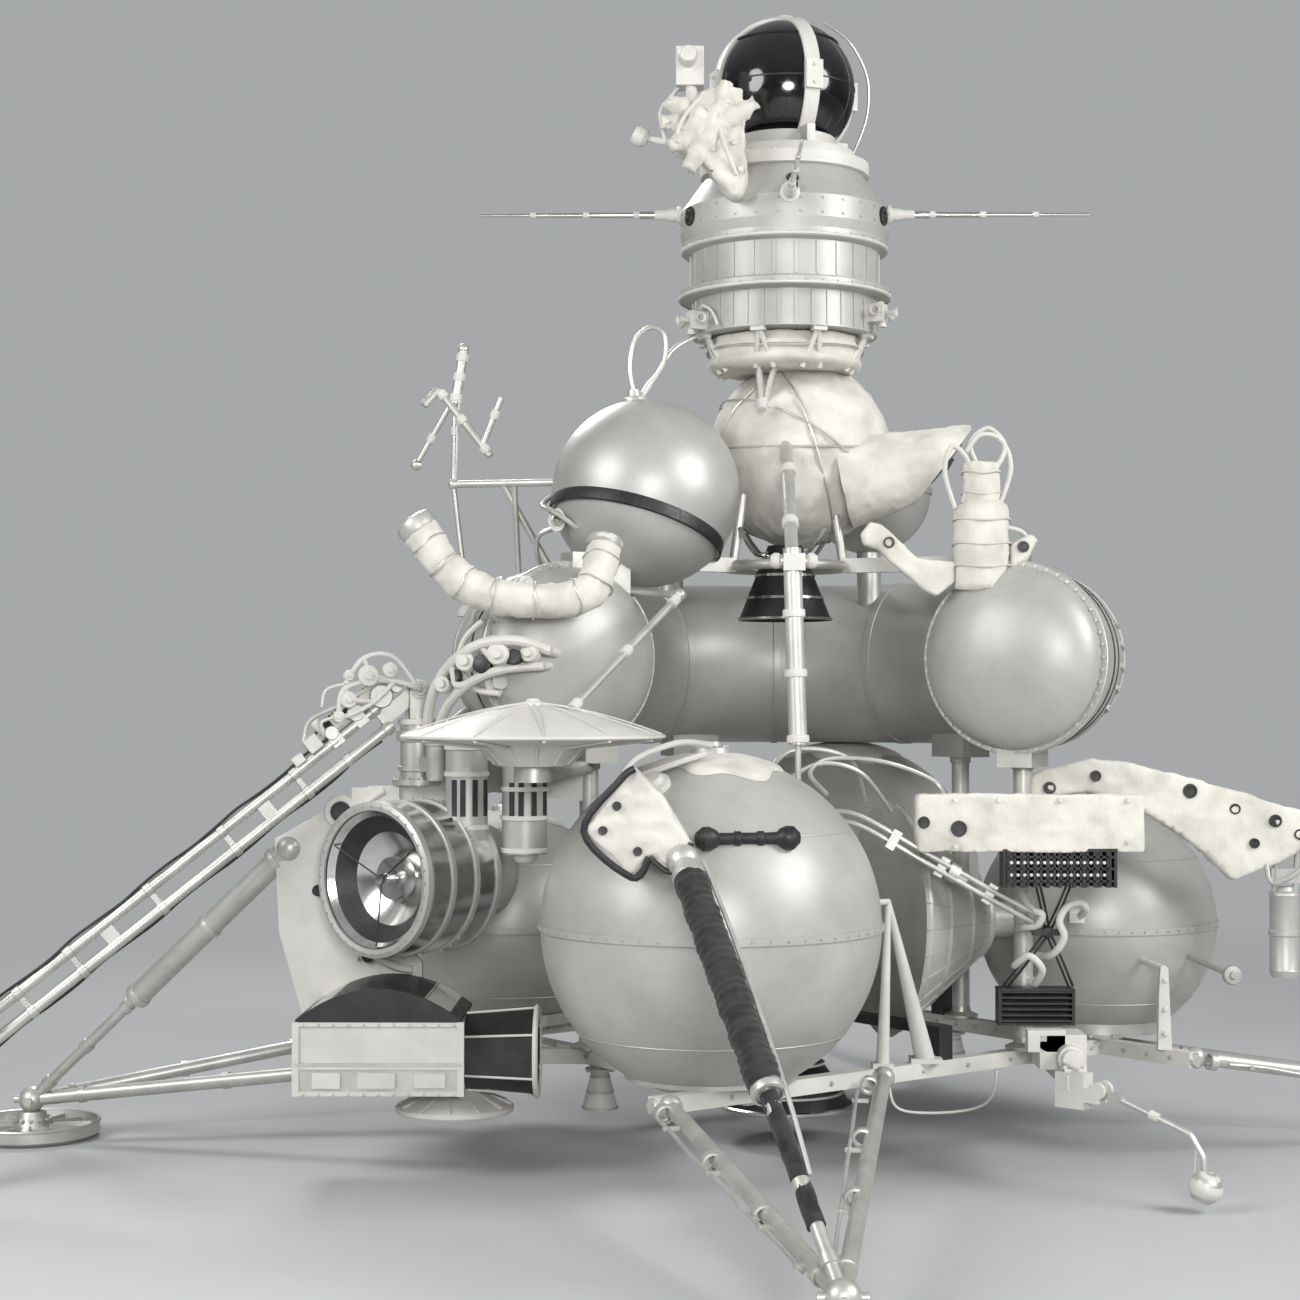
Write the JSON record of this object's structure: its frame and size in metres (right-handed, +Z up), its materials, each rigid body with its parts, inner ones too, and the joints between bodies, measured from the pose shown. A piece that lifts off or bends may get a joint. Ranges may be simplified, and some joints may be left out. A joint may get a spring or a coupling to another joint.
{
  "type": "lunar sample return lander",
  "caption": "Robotic lunar lander with spherical tanks, horseshoe instrument compartment, sampling drill boom and an ascent stage with a round return capsule.",
  "frame": {"origin": "on the ground below the axis of the ascent stage, in the middle of the four feet", "axes": "+Z up, +X to the right of a viewer in front, +Y away from that viewer; the legs lie along X and Y"},
  "size_m": [5.79, 5.79, 3.96],
  "materials": {
    "grey_alloy": "satin",
    "white_enamel": "matte",
    "polished_alloy": "polished",
    "white_blanket": "matte",
    "dark_enamel": "satin",
    "drill_steel": "satin",
    "dark_shell": "gloss",
    "frame_alloy": "satin"
  },
  "bodies": {
    "lander": {"tank_front": "grey_alloy", "tank_rear": "grey_alloy", "tank_right": "grey_alloy", "tank_left": "grey_alloy", "base_frame": "frame_alloy", "tank_skirts": "frame_alloy", "compartment": "grey_alloy", "end_domes": "grey_alloy", "columns": "frame_alloy", "foot_pads": "frame_alloy", "leg_struts": "frame_alloy", "shock_struts": "frame_alloy", "descent_engine": "dark_enamel", "steering_nozzles": "white_enamel", "bracket_left": "white_enamel", "bracket_right": "white_enamel", "tank_brackets": "white_enamel", "radar_drum": "polished_alloy", "equipment_panel": "white_enamel", "louvre": "dark_enamel", "cone_housing": "grey_alloy", "radar_box": "white_enamel", "radar_horn": "dark_enamel", "disc_antenna": "white_enamel", "dish": "white_enamel", "dish_arm": "frame_alloy", "cameras": "grey_alloy", "ascent_base": "frame_alloy", "ascent_tank": "grey_alloy", "ascent_tanks_rear": "grey_alloy", "ascent_block": "white_blanket", "ascent_nozzle": "dark_enamel", "side_horn": "white_blanket", "gas_bottle": "white_blanket", "ear_bracket": "white_enamel", "vent_duct": "white_blanket", "turnstile_antenna": "frame_alloy", "stage_struts": "frame_alloy", "sample_loader": "white_enamel", "instrument_bay": "grey_alloy", "capsule": "dark_shell", "capsule_seat": "white_enamel", "capsule_straps": "polished_alloy", "rod_antennas": "polished_alloy", "boom_post": "frame_alloy", "sensor_mount": "white_enamel"},
    "boom_turret": {"boom_turret": "frame_alloy"},
    "boom_arm": {"boom_arm": "frame_alloy"},
    "drill_head": {"drill_head": "white_enamel"},
    "drill_bit": {"drill_bit": "drill_steel"},
    "sensor_arm": {"sensor_arm": "frame_alloy"}
  },
  "joints": [
    {"name": "boom_slew", "type": "hinge", "parent": "lander", "child": "boom_turret", "pos_m": [-1.258, -0.38, 1.573], "axis": [0, 0, 1], "range_deg": [-15, 45]},
    {"name": "boom_lift", "type": "hinge", "parent": "boom_turret", "child": "boom_arm", "pos_m": [-1.258, -0.38, 1.573], "axis": [-0.2892, 0.9573, 0], "range_deg": [0, 128]},
    {"name": "drill_tilt", "type": "hinge", "parent": "boom_arm", "child": "drill_head", "pos_m": [-2.71969, -0.82153, 0.37143], "axis": [-0.2892, 0.9573, 0], "range_deg": [0, 140]},
    {"name": "drill_feed", "type": "slide", "parent": "drill_head", "child": "drill_bit", "axis": [0, 0, -1], "range_m": [0, 0.35]},
    {"name": "sensor_hinge", "type": "hinge", "parent": "lander", "child": "sensor_arm", "pos_m": [0.93, -0.96, 0.33], "axis": [-0.6317, -0.7752, 0], "range_deg": [0, 95]}
  ]
}
